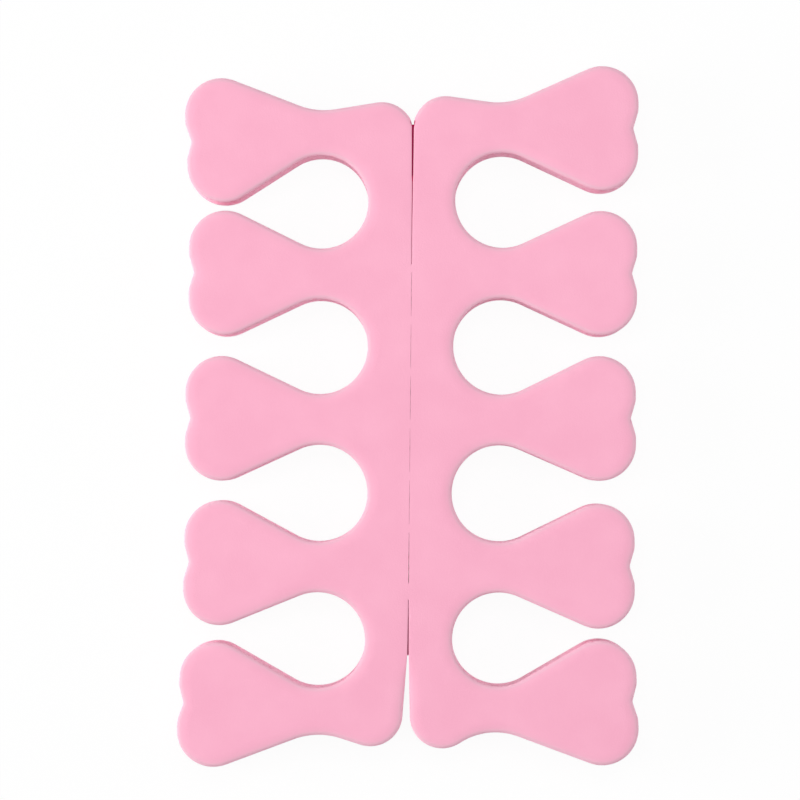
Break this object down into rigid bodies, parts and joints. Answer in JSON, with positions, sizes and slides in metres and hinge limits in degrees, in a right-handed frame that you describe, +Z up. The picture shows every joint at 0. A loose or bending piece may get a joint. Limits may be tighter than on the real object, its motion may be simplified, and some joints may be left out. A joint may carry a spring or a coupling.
{
  "type": "toe separator",
  "caption": "Flat sheet of soft foam, die-cut as a mirrored pair of toe separators joined along a tear line, with teardrop gaps for the toes between lobed fingers.",
  "frame": {"origin": "middle of the bounding box, on the underside that the sheet lies on", "axes": "+X to the right half, +Y along the tear line to the end whose shoulders still touch, +Z up through the thickness"},
  "size_m": [0.0658, 0.1006, 0.008],
  "materials": {
    "foam": "matt closed-cell foam, smooth skin on the faces and an open-celled cut wall"
  },
  "bodies": {
    "root": {"toe_separator": "foam"}
  },
  "joints": []
}
